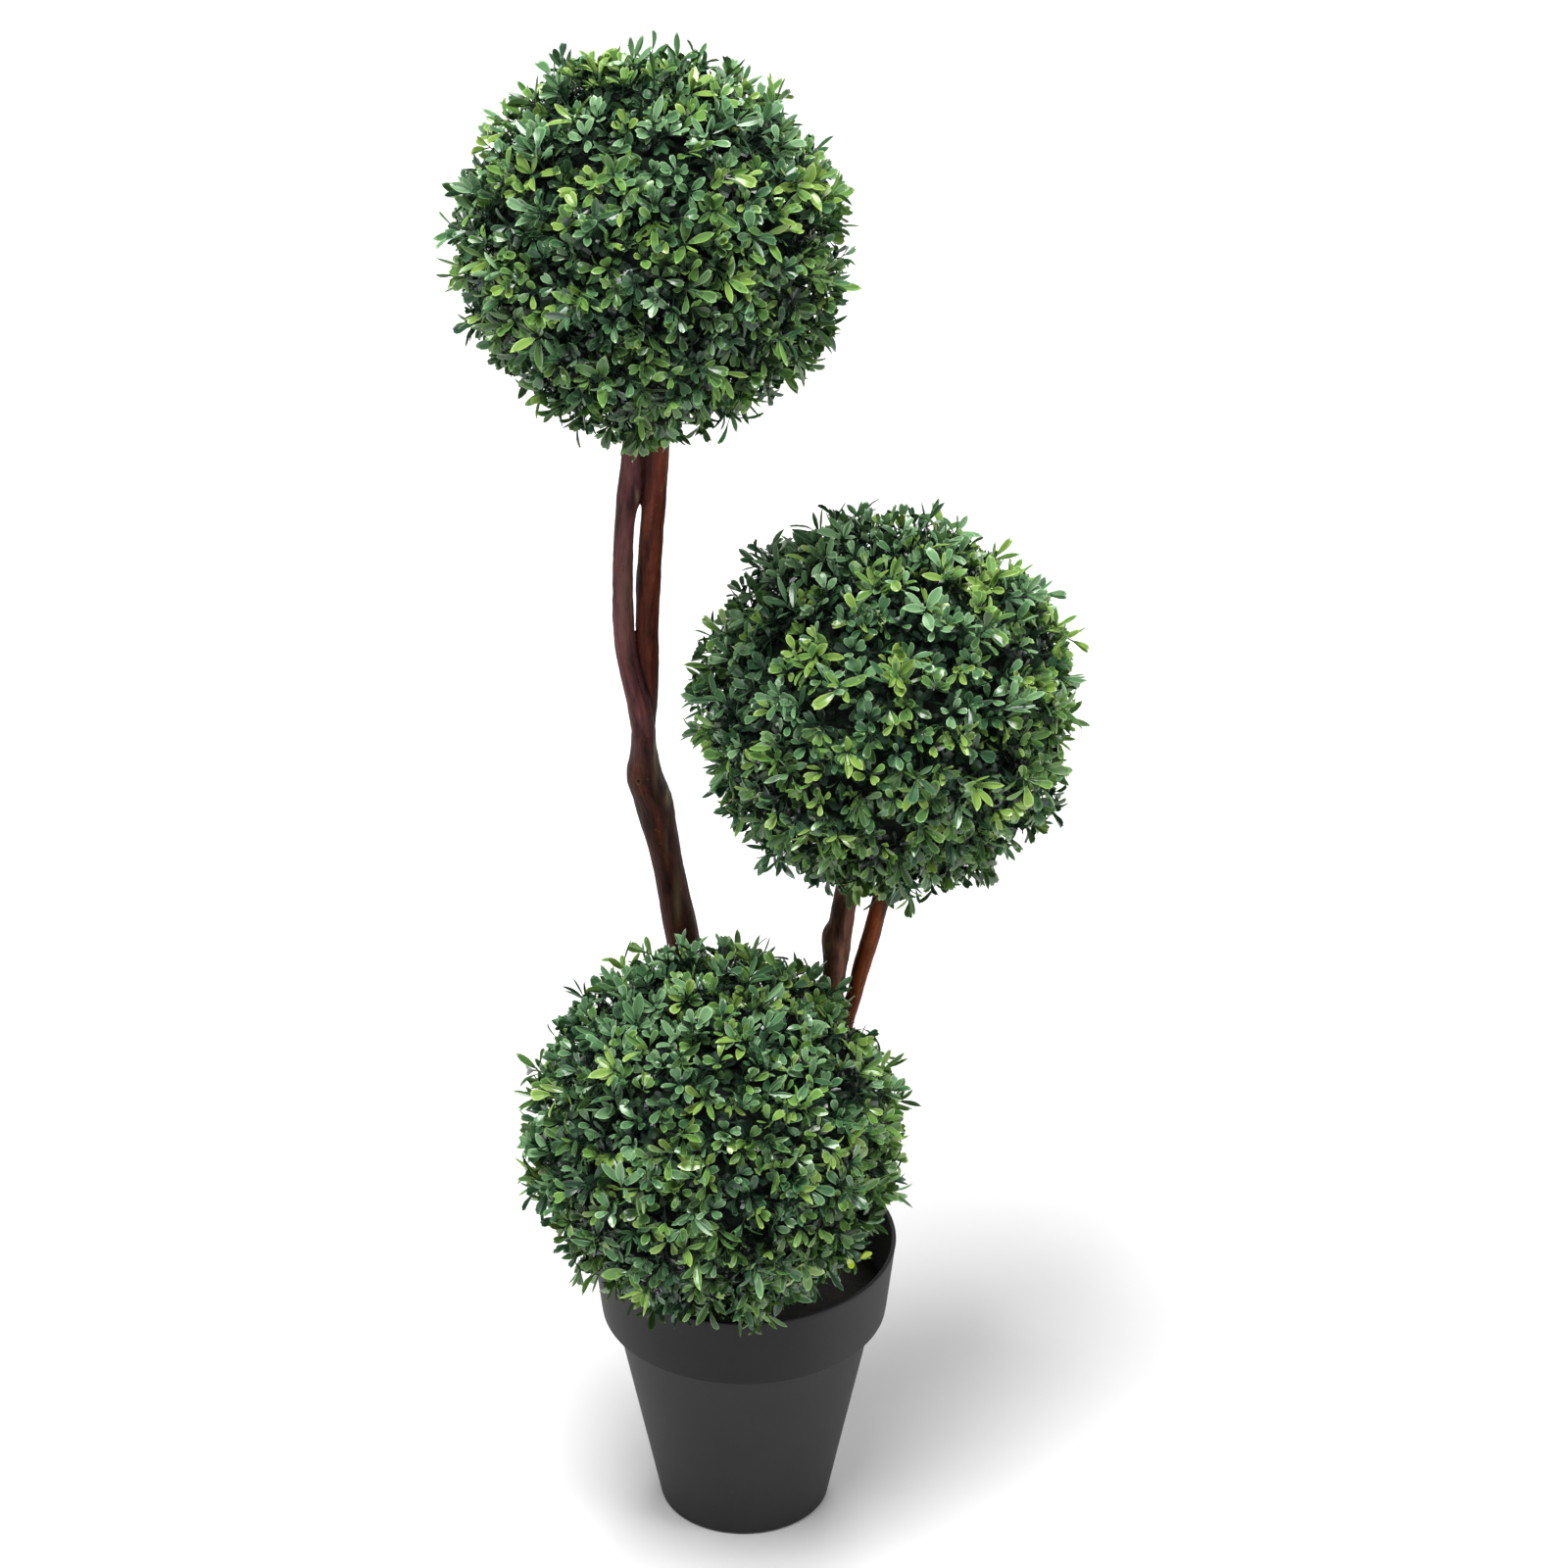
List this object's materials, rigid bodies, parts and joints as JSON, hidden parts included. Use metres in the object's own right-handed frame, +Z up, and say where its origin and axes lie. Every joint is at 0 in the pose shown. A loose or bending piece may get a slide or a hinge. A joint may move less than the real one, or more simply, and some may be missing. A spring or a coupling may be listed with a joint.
{
  "type": "artificial triple ball boxwood topiary in a pot",
  "caption": "Potted artificial topiary: clipped balls of small plastic leaves at staggered heights on forked wooden sticks, in a tapered pot with a broad rim band.",
  "frame": {"origin": "middle of the pot's flat underside, on the floor", "axes": "+Z up; the shorter stick's ball stands towards +X, the tall stick's ball towards -X, and the lowest ball in front, towards -Y"},
  "size_m": [0.4425, 0.3489, 1.1665],
  "materials": {
    "pot_plastic": "matte",
    "pot_cement": "matte",
    "stained_wood": "satin",
    "leaves": "satin"
  },
  "bodies": {
    "root": {"pot": "pot_plastic", "pot_fill": "pot_cement", "tall_trunk": "stained_wood", "tall_bough_left": "stained_wood", "tall_bough_right": "stained_wood", "middle_trunk": "stained_wood", "middle_bough_left": "stained_wood", "middle_bough_right": "stained_wood", "low_stem": "stained_wood", "top_ball": "leaves", "middle_ball": "leaves", "bottom_ball": "leaves"}
  },
  "joints": []
}
